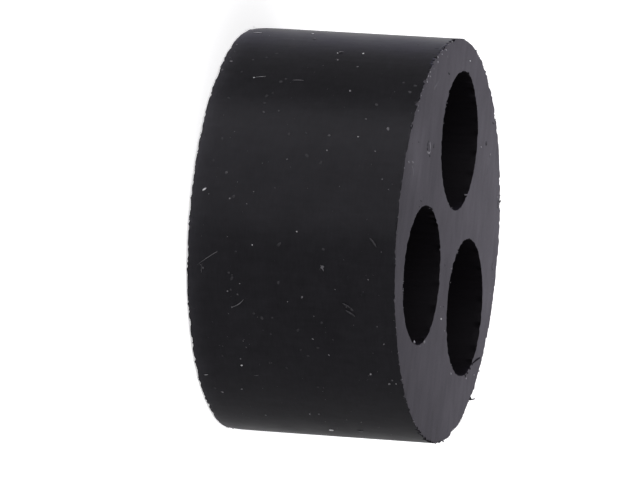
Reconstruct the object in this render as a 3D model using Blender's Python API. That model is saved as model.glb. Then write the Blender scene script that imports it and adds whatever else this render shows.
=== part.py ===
"""Multi-bore sealing insert for a cable gland.

A round rubber plug that takes the place of the gland's plain sealing ring, so that one
gland can seal several cables. It is cut to length from one extruded rubber profile, so
the whole insert is a single piece: a cylinder with a ring of round bores that run right
through it. Each bore grips one cable when the gland nut squeezes the plug.

The plug stands on one cut end, on the XY plane, with its axis along +Z.
"""

import math

import bmesh
import bpy
from mathutils import Vector

MM = 0.001

# Driving dimensions. The bores, the rubber left round them and the length are set by
# themselves, and the pitch circle and the outside follow from them.
BORE_COUNT = 3
BORE_DIAMETER = 7.0 * MM
WEB_BETWEEN_BORES = 2.0 * MM
WALL_OUTSIDE_BORES = 1.5 * MM
LENGTH = 10.7 * MM
RIM_ROUND = 0.12 * MM  # the knife leaves each rim nearly sharp

# The first bore's centre lies on +Y.
FIRST_BORE_ANGLE = math.radians(90)

# How finely the curves are divided.
OUTSIDE_STEPS = 120
BORE_STEPS = 72
RIM_STEPS = 3

# Matt black nitrile rubber.
RUBBER_COLOUR = (0.032, 0.032, 0.035, 1.0)
RUBBER_ROUGHNESS = 0.62


def bore_radius():
    return BORE_DIAMETER / 2


def pitch_radius():
    """Neighbouring bore centres are one bore and one web apart, as a chord of the pitch circle."""
    chord = BORE_DIAMETER + WEB_BETWEEN_BORES
    return chord / (2 * math.sin(math.pi / BORE_COUNT))


def outside_radius():
    return pitch_radius() + bore_radius() + WALL_OUTSIDE_BORES


def bore_centres():
    """The bores are evenly spaced round the pitch circle."""
    for index in range(BORE_COUNT):
        angle = FIRST_BORE_ANGLE + 2 * math.pi * index / BORE_COUNT
        yield pitch_radius() * Vector((math.cos(angle), math.sin(angle), 0))


def wall_profile(radius, rim_direction):
    """Points (radius, height) up a wall, with a quarter round at each end.

    rim_direction is -1 where the rims turn in towards the axis, as on the outside, and +1
    where they flare away from it, as at the mouths of a bore.
    """
    lower = []
    for step in range(RIM_STEPS + 1):
        angle = math.pi / 2 * step / RIM_STEPS
        offset = RIM_ROUND * (1 - math.sin(angle))
        height = RIM_ROUND * (1 - math.cos(angle))
        lower.append((radius + rim_direction * offset, height))
    upper = [(across, LENGTH - height) for across, height in reversed(lower)]
    return lower + upper


def add_wall(bm, centre, radius, rim_direction, steps):
    """Turns the wall's profile a full circle about its own vertical axis."""
    points = [
        bm.verts.new(centre + Vector((across, 0, height)))
        for across, height in wall_profile(radius, rim_direction)
    ]
    lines = [bm.edges.new(pair) for pair in zip(points, points[1:])]
    bmesh.ops.spin(
        bm,
        geom=points + lines,
        cent=centre,
        axis=(0, 0, 1),
        angle=2 * math.pi,
        steps=steps,
        use_merge=True,
    )


def add_end_faces(bm):
    """Closes both cut ends: flat rubber between the outside rim and the bores' rims."""
    middle = LENGTH / 2
    rims = [edge for edge in bm.edges if edge.is_boundary]
    for at_top in (False, True):
        end_rims = [
            edge for edge in rims if (edge.verts[0].co.z > middle) == at_top
        ]
        bmesh.ops.triangle_fill(bm, edges=end_rims, use_beauty=True)


def rubber_material():
    material = bpy.data.materials.new("black_rubber")
    material.use_nodes = True
    shader = material.node_tree.nodes["Principled BSDF"]
    shader.inputs["Base Color"].default_value = RUBBER_COLOUR
    shader.inputs["Roughness"].default_value = RUBBER_ROUGHNESS
    shader.inputs["Metallic"].default_value = 0.0
    material.diffuse_color = RUBBER_COLOUR
    return material


def build_insert():
    """One solid: the outside wall, the bore walls and the two cut ends."""
    bm = bmesh.new()
    add_wall(bm, Vector(), outside_radius(), -1, OUTSIDE_STEPS)
    for centre in bore_centres():
        add_wall(bm, centre, bore_radius(), +1, BORE_STEPS)
    add_end_faces(bm)
    bmesh.ops.recalc_face_normals(bm, faces=bm.faces)

    mesh = bpy.data.meshes.new("sealing_insert")
    bm.to_mesh(mesh)
    bm.free()
    mesh.shade_smooth()
    mesh.set_sharp_from_angle(angle=math.radians(40))
    mesh.materials.append(rubber_material())
    insert = bpy.data.objects.new("sealing_insert", mesh)
    bpy.context.scene.collection.objects.link(insert)
    return insert


def clear_scene():
    for old in list(bpy.data.objects):
        bpy.data.objects.remove(old)


clear_scene()
build_insert()
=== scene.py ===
# %% [markdown]
# # A rubber sealing insert for a cable gland
# A cable gland holds one cable and keeps water out. This insert goes inside it in place of
# the plain seal, so that one gland can take several thin cables. It is one piece of black
# rubber: a thick slice off a long extruded profile, with round bores from end to end.
# The lesson loads the plain solid first, and then builds the real surface around it.

import math

import bmesh
import bpy
import numpy as np
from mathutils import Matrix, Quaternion, Vector


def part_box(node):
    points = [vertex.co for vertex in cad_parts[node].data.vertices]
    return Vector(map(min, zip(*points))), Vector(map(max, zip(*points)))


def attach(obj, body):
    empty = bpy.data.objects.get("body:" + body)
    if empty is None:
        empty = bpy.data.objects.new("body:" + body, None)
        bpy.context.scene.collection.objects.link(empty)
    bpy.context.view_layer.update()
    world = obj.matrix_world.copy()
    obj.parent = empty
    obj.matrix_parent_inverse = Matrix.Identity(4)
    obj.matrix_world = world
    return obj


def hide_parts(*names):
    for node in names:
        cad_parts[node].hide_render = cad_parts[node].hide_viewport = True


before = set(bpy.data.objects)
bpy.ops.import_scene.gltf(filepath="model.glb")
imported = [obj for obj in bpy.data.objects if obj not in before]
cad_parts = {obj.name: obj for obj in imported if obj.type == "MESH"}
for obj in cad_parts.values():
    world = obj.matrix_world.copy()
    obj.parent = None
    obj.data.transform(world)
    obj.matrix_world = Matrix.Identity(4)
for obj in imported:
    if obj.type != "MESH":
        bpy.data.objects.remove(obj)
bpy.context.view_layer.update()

# %% [markdown]
# ## Sizes
# The solid gives the length and the outside. The bores are as wide as in the solid, and the
# rubber left outside each of them fixes how far from the middle they lie.

# %% Sizes
MM = 0.001
lowest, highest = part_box("sealing_insert")
LENGTH = (highest.z - lowest.z) / MM
OUTER_RADIUS = (highest.y - lowest.y) / 2 / MM
BORE_COUNT = 3
BORE_RADIUS = 3.5
WALL_OUTSIDE_BORES = 1.5
PITCH_RADIUS = OUTER_RADIUS - WALL_OUTSIDE_BORES - BORE_RADIUS
FIRST_BORE = math.radians(90)
bore_turns = FIRST_BORE + np.arange(BORE_COUNT) * 2 * math.pi / BORE_COUNT
print(f"{LENGTH:.2f} mm long, {OUTER_RADIUS:.3f} mm in radius, bores {PITCH_RADIUS:.3f} mm out")

# %% [markdown]
# ## Camera
# The photograph was taken with a long lens, from nearly level with the insert's side. The
# insert lies on its side there. Here it stands on its end, so the camera is turned on its
# side instead, by the roll angle, and the picture comes out the same.

# %% Camera
AZIMUTH = math.radians(-80.297)
ELEVATION = math.radians(15.613)
ROLL = math.radians(93.667)
DISTANCE = 376.79 * MM
AIM = Vector((-0.299, -0.417, 4.062)) * MM
SENSOR_WIDTH = 36.0
FOCAL_LENGTH = 420.0

towards_camera = Vector((
    math.sin(AZIMUTH) * math.cos(ELEVATION),
    -math.cos(AZIMUTH) * math.cos(ELEVATION),
    math.sin(ELEVATION),
))
level = (-towards_camera).to_track_quat("-Z", "Y")
lens = bpy.data.cameras.new("photo_camera")
lens.sensor_width = SENSOR_WIDTH
lens.lens = FOCAL_LENGTH
lens.clip_start = 0.01
lens.clip_end = 10.0
camera = bpy.data.objects.new("photo_camera", lens)
camera.rotation_mode = "QUATERNION"
camera.rotation_quaternion = level @ Quaternion((0, 0, 1), ROLL)
camera.location = AIM + towards_camera * DISTANCE
bpy.context.scene.collection.objects.link(camera)
bpy.context.scene.camera = camera
bpy.context.view_layer.update()
print("camera at", [round(value / MM, 1) for value in camera.location], "mm")

# %% [markdown]
# ## Small helpers for nodes
# A finish is a few nodes joined together. One helper adds a node and fills or joins its
# inputs, which keeps each finish short enough to read.

# %% Node helpers
def put(tree, kind, inputs=None, **settings):
    """Adds one node. Each input is a number, a colour, or another node's output to join to."""
    node = tree.nodes.new(kind)
    for setting, value in settings.items():
        setattr(node, setting, value)
    for place, value in (inputs or {}).items():
        if isinstance(value, bpy.types.NodeSocket):
            tree.links.new(value, node.inputs[place])
        else:
            node.inputs[place].default_value = value
    return node


def arithmetic(tree, operation, *values):
    """The result of a Math node: the operation on one, two or three numbers or outputs."""
    return put(tree, "ShaderNodeMath", dict(enumerate(values)), operation=operation).outputs[0]


def blend(tree, share, first, second):
    """A colour between first, at share 0, and second, at share 1."""
    inputs = {0: share, 6: first, 7: second}
    return put(tree, "ShaderNodeMix", inputs, data_type="RGBA").outputs[2]


def spread(tree, value, low_in, high_in, low_out=0.0, high_out=1.0):
    """Stretches the range low_in to high_in of a value over low_out to high_out, and clips it."""
    inputs = {0: value, 1: low_in, 2: high_in, 3: low_out, 4: high_out}
    return put(tree, "ShaderNodeMapRange", inputs).outputs[0]


def seen_directly(tree):
    """1 for rays that come from the camera, a reflection or clear glass, and 0 for the others."""
    path = put(tree, "ShaderNodeLightPath")
    shown = arithmetic(tree, "MAXIMUM", path.outputs["Is Camera Ray"], path.outputs["Is Glossy Ray"])
    return arithmetic(tree, "MAXIMUM", shown, path.outputs["Is Transmission Ray"])


print("node helpers:", put.__name__, arithmetic.__name__, blend.__name__, spread.__name__)

# %% [markdown]
# ## Studio
# The insert stands on a large pale floor. Product pictures have a white ground, which is
# easy to get by lighting everything harder, but that would wash the rubber out. Instead the
# floor and the world add light of their own only for rays that look straight at them. The
# floor's own shading stays under that, so the soft shadow stays too.

# %% Floor
FLOOR_SIZE = 4.0
FLOOR_GREY = 0.85
FLOOR_LIFT = 0.56
FLOOR_DROP = 0.00003

half = FLOOR_SIZE / 2
floor_mesh = bpy.data.meshes.new("floor")
floor_corners = [(-half, -half, 0), (half, -half, 0), (half, half, 0), (-half, half, 0)]
floor_mesh.from_pydata(floor_corners, [], [(0, 1, 2, 3)])
floor = bpy.data.objects.new("floor", floor_mesh)
floor.location.z = -FLOOR_DROP
bpy.context.scene.collection.objects.link(floor)

floor_finish = bpy.data.materials.new("pale_floor")
floor_finish.use_nodes = True
tree = floor_finish.node_tree
tree.nodes.clear()
matt = put(tree, "ShaderNodeBsdfDiffuse", {"Color": (FLOOR_GREY, FLOOR_GREY, FLOOR_GREY, 1)})
lift = arithmetic(tree, "MULTIPLY", seen_directly(tree), FLOOR_LIFT)
glow = put(tree, "ShaderNodeEmission", {"Strength": lift})
both = put(tree, "ShaderNodeAddShader", {0: matt.outputs[0], 1: glow.outputs[0]})
put(tree, "ShaderNodeOutputMaterial", {"Surface": both.outputs[0]})
floor_mesh.materials.append(floor_finish)
print("floor", FLOOR_SIZE, "m across, grey", FLOOR_GREY)

# %% World
WORLD_LIGHT = 0.50
world = bpy.data.worlds.new("studio")
bpy.context.scene.world = world
world.use_nodes = True
tree = world.node_tree
tree.nodes.clear()
strength = spread(tree, seen_directly(tree), 0, 1, WORLD_LIGHT, 1.0)
sky = put(tree, "ShaderNodeBackground", {"Strength": strength})
put(tree, "ShaderNodeOutputWorld", {"Surface": sky.outputs[0]})
print("world light", WORLD_LIGHT)

# %% [markdown]
# ## Lamps
# Soft boxes light the insert, each a large area lamp, because a large lamp close by makes
# soft edges. One hangs over the upper cut end and one stands beside the camera. Together with
# the world they give a plain level of light. Black rubber is mostly seen by what it reflects,
# so a photographer also stands bright cards beside it. Two of them draw the grey band on the
# wall, and a dim bluish one behind the insert edges its far side. They are hidden from matt
# shading, so they add gloss and no light.

# %% Lamps
BOX_COLOUR = (0.97, 0.955, 1.0)
CARD_COLOUR = (0.93, 0.91, 1.0)
REAR_COLOUR = (0.52, 0.48, 1.0)
LAMP_DISTANCE = 0.7
CARDS = [
    # name, turn and rise in degrees, width and height in metres, power in watts, colour
    ("near_card", 26, 19, 0.62, 0.48, 15.5, CARD_COLOUR),
    ("far_card", 62, 19, 0.30, 0.48, 15.0, CARD_COLOUR),
    ("rear_card", 140, 19, 0.30, 0.48, 2.1, REAR_COLOUR),
]


def out_from_insert(turn, rise):
    """A direction from the insert: turned from the camera towards the picture's top, then raised."""
    turn, rise = math.radians(turn), math.radians(rise)
    across = Vector((towards_camera.x, towards_camera.y, 0)).normalized()
    upwards = Vector((across.y, -across.x, 0))
    level_way = across * math.cos(turn) + upwards * math.sin(turn)
    return level_way * math.cos(rise) + Vector((0, 0, math.sin(rise)))


def soft_box(name, direction, distance, width, height, power, colour):
    """An area lamp that faces the insert's middle from a direction, at a distance in metres."""
    light = bpy.data.lights.new(name, "AREA")
    light.color = colour
    light.shape = "RECTANGLE"
    light.size = width
    light.size_y = height
    light.energy = power
    lamp = bpy.data.objects.new(name, light)
    middle = Vector((0, 0, LENGTH / 2 * MM))
    lamp.location = middle + direction.normalized() * distance
    lamp.rotation_euler = direction.to_track_quat("Z", "Y").to_euler()
    lamp.visible_camera = False
    bpy.context.scene.collection.objects.link(lamp)
    return lamp


overhead = Vector((0.25, -0.45, 1.0))
beside_camera = out_from_insert(turn=22, rise=25)
soft_box("overhead_box", overhead, 0.8, width=0.7, height=0.7, power=3.4, colour=BOX_COLOUR)
soft_box(
    "camera_side_box", beside_camera, LAMP_DISTANCE, width=0.8, height=0.5, power=2.4, colour=BOX_COLOUR
)
for name, turn, rise, *card in CARDS:
    soft_box(name, out_from_insert(turn, rise), LAMP_DISTANCE, *card).visible_diffuse = False

# %% [markdown]
# ## Pattern helpers
# Every pattern reads Object coordinates, which are the real place on the insert. Dividing
# them by a size in mm gives a pattern whose grains are that large. Dividing one axis by more
# draws the grains out along it, and that makes streaks.

# %% Pattern helpers
def place(tree, size, stretch=(1, 1, 1)):
    """Object coordinates counted in grains of a size in mm, drawn out by stretch along each axis."""
    coordinates = put(tree, "ShaderNodeTexCoord").outputs["Object"]
    scale = [1 / (size * long * MM) for long in stretch]
    return put(tree, "ShaderNodeMapping", {"Vector": coordinates, "Scale": scale}).outputs[0]


def clouds(tree, size, stretch=(1, 1, 1), detail=2.0):
    """Cloudy noise from 0 to 1, mostly near 0.5, with clouds about as large as size in mm."""
    inputs = {"Vector": place(tree, size, stretch), "Scale": 1.0, "Detail": detail}
    return put(tree, "ShaderNodeTexNoise", inputs).outputs["Fac"]


def tinted(tree, colour, patterns, *factors):
    """A colour times each factor. A (pattern, amount) gives a factor that lies amount around 1."""
    around_one = [
        spread(tree, pattern, 0.25, 0.75, 1 - amount, 1 + amount) for pattern, amount in patterns
    ]
    for factor in [*around_one, *factors]:
        inputs = {0: colour, "Scale": factor}
        colour = put(tree, "ShaderNodeVectorMath", inputs, operation="SCALE").outputs[0]
    return colour


def relief(tree, height, depth, normal=None):
    """Bump from a height of 0 to 1 that stands for a depth in mm, over another bump if there's one."""
    inputs = {"Height": height, "Strength": 1.0, "Distance": depth * MM}
    if normal is not None:
        inputs["Normal"] = normal
    return put(tree, "ShaderNodeBump", inputs).outputs[0]


print("a grain of 1 mm is", 1 * MM, "long in Object coordinates")

# %% [markdown]
# ## Rubber finishes
# One black rubber shows three finishes: the skin that the extruder leaves outside, the cut
# ends, and the skin of the bores. Each could be one flat grey, but real rubber is never even.
# So each starts from one grey, and several faint patterns change it a little. Values that are
# the same all over, such as the gloss, are set on the shader itself.

# %% Rubber values
SKIN_COLOUR = (0.0132, 0.0129, 0.0147, 1)
# The cut ends' grey is partly their own, and partly a painted sheen that makes up for their low gloss.
CUT_GREY_AND_SHEEN = (0.0783, 0.0742, 0.0840, 1)
# The bores' grey is darker than the skin's: painted shade for their depth.
BORE_SHADE_COLOUR = (0.0052, 0.0045, 0.0055, 1)
SKIN_GLOSS = 0.02
# The painted sheen at the lower rim: its height in mm, how much paler it makes the skin, how
# much paler the skin above it still is, and how many times more so at +Y.
SHEEN_HEIGHT = 1.6
SHEEN_SHARE = 1.3
SHEEN_SLOPE = 0.18
SHEEN_SIDE = 2.6
# The rougher side: the roughness added, and between which places towards -Y it comes in, in mm.
DULLER = 0.13
DULL_FROM = 9.1
DULL_TO = 9.8
# How much of that is left at the lower rim, and the height in mm by which all of it has come in.
DULL_AT_RIM = 0.4
DULL_HEIGHT = 4.0
print("matt grey of skin, cut and bore:", SKIN_COLOUR[0], CUT_GREY_AND_SHEEN[0], BORE_SHADE_COLOUR[0])

# %% Rubber helpers
def rubber(name, colour, roughness, specular):
    """A black rubber with its even values set on the shader, ready for its pattern nodes."""
    material = bpy.data.materials.new(name)
    material.use_nodes = True
    shader = material.node_tree.nodes["Principled BSDF"]
    shader.inputs["Base Color"].default_value = colour
    shader.inputs["Roughness"].default_value = roughness
    shader.inputs["Specular IOR Level"].default_value = specular
    material.diffuse_color = colour
    return material, material.node_tree, shader


def in_mm(tree, axis):
    """One of the Object coordinates, X, Y or Z, in mm."""
    return put(tree, "ShaderNodeSeparateXYZ", {0: place(tree, 1.0)}).outputs[axis]


# Painted sheen: the skin is made paler at the lower rim and a little up the wall, most towards +Y.
def lower_rim_sheen(tree, height):
    """How much paler the skin is: 1 + side * (slope + SHEEN_SHARE * share to the power of 3.5).

    share falls from 1 at the lower rim to 0 at SHEEN_HEIGHT, the slope from SHEEN_SLOPE to 0
    at half the length, and side grows from 1 just past the middle to SHEEN_SIDE near +Y.
    """
    share = spread(tree, height, 0, SHEEN_HEIGHT, 1, 0)
    slope = spread(tree, height, 0, LENGTH / 2, SHEEN_SLOPE, 0)
    painted_sheen = arithmetic(tree, "MULTIPLY_ADD", arithmetic(tree, "POWER", share, 3.5), SHEEN_SHARE, slope)
    side = spread(tree, in_mm(tree, "Y"), -2.0, 9.0, 1.0, SHEEN_SIDE)
    return arithmetic(tree, "MULTIPLY_ADD", painted_sheen, side, 1.0)


print("the lower rim is at least", 1 + SHEEN_SHARE + SHEEN_SLOPE, "times as pale as the skin")

# %% [markdown]
# ## Extruded skin
# The outside is dark and fairly smooth, with faint marks round it, and a painted sheen makes
# it paler at the lower rim and a little up the wall, most towards +Y. An image could carry the
# marks, but noise needs no image and stays sharp from close by. The real skin mirrors a dim
# room. Here everything around is white, so its gloss is set low, it is drawn out up the wall,
# and it is blurred by more roughness on the side that would mirror the floor.

# %% Extruded skin
def extruded_skin():
    """Soft clouds, faint streaks and fine grain, a painted sheen at the lower rim, a rougher side at -Y.
    """
    material, tree, shader = rubber("skin_rubber", SKIN_COLOUR, 0.42, SKIN_GLOSS)
    shader.inputs["Anisotropic"].default_value = 0.9
    shader.inputs["Anisotropic Rotation"].default_value = 0.25
    smudges = clouds(tree, 2.5, (1, 1, 0.7), 3)
    streaks = clouds(tree, 0.12, (5, 5, 1), 2)
    grain = clouds(tree, 0.07, detail=1)
    blotches = clouds(tree, 0.45, (1, 1, 1.4), 2)
    lines = clouds(tree, 0.32, (1, 1, 6), 2)
    patterns = [(smudges, 0.11), (streaks, 0.07), (blotches, 0.08), (grain, 0.04), (lines, 0.05)]
    height = in_mm(tree, "Z")
    # The skin's grey, with its painted sheen at the lower rim.
    colour = tinted(tree, SKIN_COLOUR[:3], patterns, lower_rim_sheen(tree, height))
    tree.links.new(colour, shader.inputs["Base Color"])
    duller = spread(tree, in_mm(tree, "Y"), -DULL_FROM, -DULL_TO, 0, DULLER)
    risen = spread(tree, height, 0, DULL_HEIGHT, DULL_AT_RIM, 1)
    duller = arithmetic(tree, "MULTIPLY", duller, risen)
    roughness = arithmetic(tree, "ADD", spread(tree, smudges, 0.3, 0.7, 0.39, 0.46), duller)
    tree.links.new(roughness, shader.inputs["Roughness"])
    normal = None
    for pattern, depth in [(smudges, 0.012), (blotches, 0.006), (lines, 0.004), (grain, 0.0008)]:
        normal = relief(tree, pattern, depth, normal)
    tree.links.new(normal, shader.inputs["Normal"])
    return material


skin_finish = extruded_skin()
print(skin_finish.name, "has", len(skin_finish.node_tree.nodes), "nodes")

# %% [markdown]
# ## Cut rubber
# The ends are cut with a blade, which opens the rubber, so they are greyer and matt, with
# streaks along the cut. Their grey is set somewhat higher still, as a painted sheen in place of
# gloss. The streaks are noise drawn out along the blade's way. On top lies a slow change of grey
# that is painted light: paler towards +X and +Y, with a few patches paler or darker in places.
# It could be painted by hand. A slope along each axis and a few soft round patches do the same
# with numbers that can be read.

# %% Slow change of grey
# Painted light: the cut ends grow paler towards +X and +Y. The patches make them paler or darker in
# places.
PAINTED_LIGHT_PER_MM_X = 0.026
PAINTED_LIGHT_PER_MM_Y = 0.015
PATCHES = [
    # x, y and radius in mm, and how much paler
    (-7.8, 2.8, 3.0, 0.23), (0.0, -1.6, 2.2, -0.08), (0.5, -9.2, 2.8, -0.11), (4.5, 8.6, 3.0, -0.10),
    (7.6, 6.5, 3.0, -0.03), (8.6, -0.6, 2.5, 0.06), (-3.4, 0.3, 1.6, -0.03), (-5.6, 7.0, 1.0, 0.03),
    (9.0, 2.8, 2.4, 0.11), (-8.8, -3.5, 4.5, 0.09),
]


def light_slope_and_patches(tree):
    """A slope of painted light, 1 plus a share for each mm along X and Y, plus each patch's change times
    a smooth bell.
    """
    paler = arithmetic(tree, "MULTIPLY_ADD", in_mm(tree, "X"), PAINTED_LIGHT_PER_MM_X, 1.0)
    paler = arithmetic(tree, "MULTIPLY_ADD", in_mm(tree, "Y"), PAINTED_LIGHT_PER_MM_Y, paler)
    for x, y, radius, change in PATCHES:
        ends = {0: place(tree, 1.0), 1: (x, y, LENGTH)}
        away = put(tree, "ShaderNodeVectorMath", ends, operation="DISTANCE").outputs["Value"]
        inputs = {0: away, 1: 0, 2: radius, 3: change, 4: 0}
        bell = put(tree, "ShaderNodeMapRange", inputs, interpolation_type="SMOOTHSTEP")
        paler = arithmetic(tree, "ADD", paler, bell.outputs[0])
    return paler


print(len(PATCHES), "patches, the palest by", max(change for *_, change in PATCHES))

# %% Cut rubber
def cut_rubber():
    """Streaks along Y, where the blade ran, soft mottling, fine grain, and a slope of painted light with
    patches.
    """
    material, tree, shader = rubber("cut_rubber", CUT_GREY_AND_SHEEN, 0.82, 0.03)
    streaks = clouds(tree, 0.55, (1, 4, 1), 2)
    mottling = clouds(tree, 1.3, (1, 1.6, 1), 2)
    grain = clouds(tree, 0.10, (1.4, 1, 1), 1)
    patterns = [(streaks, 0.10), (mottling, 0.09), (grain, 0.05)]
    # The cut's grey with its slope of painted light and the patches.
    tree.links.new(tinted(tree, CUT_GREY_AND_SHEEN[:3], patterns, light_slope_and_patches(tree)), shader.inputs["Base Color"])
    tree.links.new(spread(tree, mottling, 0.3, 0.7, 0.78, 0.86), shader.inputs["Roughness"])
    tree.links.new(relief(tree, grain, 0.003, relief(tree, streaks, 0.008)), shader.inputs["Normal"])
    return material


cut_finish = cut_rubber()
print(cut_finish.name, "has", len(cut_finish.node_tree.nodes), "nodes")

# %% [markdown]
# ## Bore skin
# The bores keep an untouched skin that hardly any light reaches, with faint lines along them
# from the extruder's pin. Its grey is set darker than the outside skin's, as painted shade for
# the depth of the bores. Noise that is drawn out twelve times up the bore gives such lines.

# %% Bore skin
def shaded_bore_skin():
    """Skin darkened with painted shade, with faint lines along the bore, as the extruder's pin leaves
    them.
    """
    material, tree, shader = rubber("bore_painted_shade", BORE_SHADE_COLOUR, 0.7, 0.01)
    lines = clouds(tree, 0.15, (1, 1, 12), 2)
    grain = clouds(tree, 0.1, detail=1)
    colour = tinted(tree, BORE_SHADE_COLOUR[:3], [(lines, 0.15), (grain, 0.08)])
    tree.links.new(colour, shader.inputs["Base Color"])
    tree.links.new(relief(tree, lines, 0.006), shader.inputs["Normal"])
    return material


bore_shade_finish = shaded_bore_skin()
print(bore_shade_finish.name, "has", len(bore_shade_finish.node_tree.nodes), "nodes")

# %% [markdown]
# ## Uneven rims
# A blade never leaves a perfect rim on rubber. The corner is a little rounder here and
# sharper there, small bits are torn out, and small burrs stand proud. All of that is a
# number that changes round the rim, so two functions of the angle make it: waves that
# repeat after a full turn, and single bumps at chosen or random angles.

# %% Waves and bumps round a circle
def ring_waves(angles, seed, slowest, fastest):
    """A sum of cosines, slowest to fastest to the turn, with random phases, scaled to a spread of 1."""
    random = np.random.default_rng(seed)
    rates = np.arange(slowest, fastest + 1)
    heights = random.normal(size=rates.size) / np.sqrt(rates)
    phases = random.uniform(0, 2 * math.pi, rates.size)
    scale = math.sqrt((heights**2).sum() / 2)
    return np.cos(angles[..., None] * rates + phases) @ heights / scale


def ring_bumps(angles, centres, widths, heights):
    """A sum of bell curves: each is height times exp(-(angle from its centre / width) squared)."""
    apart = angles[..., None] - centres
    apart = (apart + math.pi) % (2 * math.pi) - math.pi
    return (np.exp(-((apart / widths) ** 2)) * heights).sum(-1)


def random_bumps(angles, seed, count, radius, narrowest, widest, tallest):
    """Bumps at random angles on a rim of that radius, with widths in mm.

    A height is tallest times the cube of a random share, so few bumps are tall.
    """
    random = np.random.default_rng(seed)
    centres = random.uniform(0, 2 * math.pi, count)
    widths = random.uniform(narrowest, widest, count) / radius
    heights = tallest * random.random(count) ** 3
    return ring_bumps(angles, centres, widths, heights)


one_bump = ring_bumps(np.radians([0.0, 10.0, 20.0]), np.zeros(1), np.radians([10.0]), np.ones(1))
print("a bump 10 degrees wide, 0, 10 and 20 degrees away:", one_bump.round(2))

# %% [markdown]
# ## What each rim is like
# The upper outside rim is the most ragged one. The lower one is cleaner, and the bores' rims
# are the cleanest. Waves and random bumps make all of them alike in kind, but they would put
# the tears in the wrong places. So tables list what stands out on the real rim: single tears,
# and stretches with many small ones.

# %% Tables of the rims
CORNER = 0.045
LEAST_CORNER = 0.015
BURR_WAVES = 0.012
TEAR_WAVES = 0.010
RIM_BUMPS = [
    # how many for each mm of radius, then narrowest, widest and tallest in mm
    (9, 0.04, 0.14, 0.10),  # of the roundness
    (7, 0.03, 0.09, 0.055),  # of the burrs
    (10, 0.04, 0.15, 0.075),  # of the tears
]
# Seed 11 is the upper outside rim's, and 21 the lower one's.
NAMED_TEARS = {
    # under each rim's seed: degrees round it, width and depth in mm
    11: [
        (108.6, 0.22, 0.07), (112.5, 0.12, 0.05), (118.8, 0.20, 0.06), (257.5, 0.15, 0.05),
        (261.2, 0.20, 0.07), (267.2, 0.22, 0.08), (272.9, 0.15, 0.06), (283.0, 0.15, 0.06),
        (49.1, 0.14, 0.07), (22.2, 0.10, 0.05), (330.5, 0.12, 0.05), (62.0, 0.12, 0.04),
        (298.0, 0.45, 0.06), (339.0, 0.3, 0.02), (318.0, 0.5, 0.03),
    ],
    21: [
        (150.0, 0.08, 0.06), (168.0, 0.10, 0.04), (214.0, 0.12, 0.05), (128.0, 0.15, 0.06),
        (240.0, 0.12, 0.05),
    ],
}
RAGGED = {
    # degrees at the middle of a ragged stretch, its reach either way, tears in it, deepest in mm
    11: [
        (132, 26, 44, 0.09), (175, 20, 16, 0.05), (250, 45, 40, 0.06), (296, 14, 12, 0.07),
        (345, 40, 20, 0.04),
    ],
    21: [(180, 75, 110, 0.06)],
}
print("named tears:", {seed: len(tears) for seed, tears in NAMED_TEARS.items()})

# %% Rims
def ragged_bumps(angles, seed, middle, reach, count, radius, deepest):
    """Bumps 0.04 to 0.10 mm wide, at random angles within a stretch of the rim.

    A depth is deepest times a random share to the power of 1.5.
    """
    random = np.random.default_rng(seed)
    centres = middle + random.uniform(-reach, reach, count)
    widths = random.uniform(0.04, 0.10, count) / radius
    return ring_bumps(angles, centres, widths, deepest * random.random(count) ** 1.5)


def rim(angles, seed, radius):
    """How round the rim is at each angle, how far burrs stand proud, and how deep it's torn, in mm.

    Each is a sum of waves and bumps. A bore's rim, on its smaller radius, has a cleaner cut, so
    its bumps are half as large.
    """
    size = 1.0 if radius > BORE_RADIUS else 0.5
    roundness = CORNER * (1 + 0.3 * ring_waves(angles, seed, 3, 60))
    burr = BURR_WAVES * np.maximum(ring_waves(angles, seed + 2, 15, int(14 * radius)), 0)
    tear = TEAR_WAVES * np.maximum(ring_waves(angles, seed + 4, 20, int(12 * radius)), 0)
    for index, values in enumerate((roundness, burr, tear)):
        to_the_mm, narrowest, widest, tallest = RIM_BUMPS[index]
        count, bump_seed = int(to_the_mm * radius), seed + 2 * index + 1
        values += random_bumps(angles, bump_seed, count, radius, narrowest, widest, tallest * size)
    for degrees, width, depth in NAMED_TEARS.get(seed, []):
        tear += ring_bumps(angles, np.radians([degrees]), np.array([width / radius]), np.array([depth]))
    for middle, reach, count, depth in RAGGED.get(seed, []):
        stretch = math.radians(middle), math.radians(reach)
        tear += ragged_bumps(angles, seed + middle, *stretch, count, radius, depth)
    return np.maximum(roundness, LEAST_CORNER), burr, tear


sample = rim(np.linspace(0, 2 * math.pi, 720), 1, OUTER_RADIUS)
print("largest roundness, burr and tear in mm:", [round(float(part.max()), 3) for part in sample])

# %% [markdown]
# ## The insert as one closed surface
# The surface could be a cylinder with three bores cut out of it by a Boolean modifier, but
# that leaves long thin triangles and no rows to move. Instead it is made of grids that share
# their edges: two for each bore, one from each end, and one for the outside wall. How fine
# they are comes first. A step round the outside is under 0.05 mm, as small as the tears.

# %% Grid sizes
ARC_STEPS = 500
WEB_STEPS = 80
LIP_STEPS = 4
BORE_ROWS = 8
WALL_SHARES = (0.012, 0.05, 0.15, 0.35, 0.65, 0.85, 0.95, 0.988)
END_ROWS = 9
HALF_SECTOR = math.pi / BORE_COUNT
UPPER, LOWER = 1, -1


def gathered(steps):
    """Shares from 0 to 1, close together at both ends: half of 1 - cos of an angle that grows evenly."""
    return (1 - np.cos(np.linspace(0, math.pi, steps + 1))) / 2


columns = ARC_STEPS + 2 * WEB_STEPS
rows = 2 * END_ROWS + 2 * LIP_STEPS + BORE_ROWS
print("triangles in the ends and bores, at most:", 2 * BORE_COUNT * columns * rows)

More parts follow.
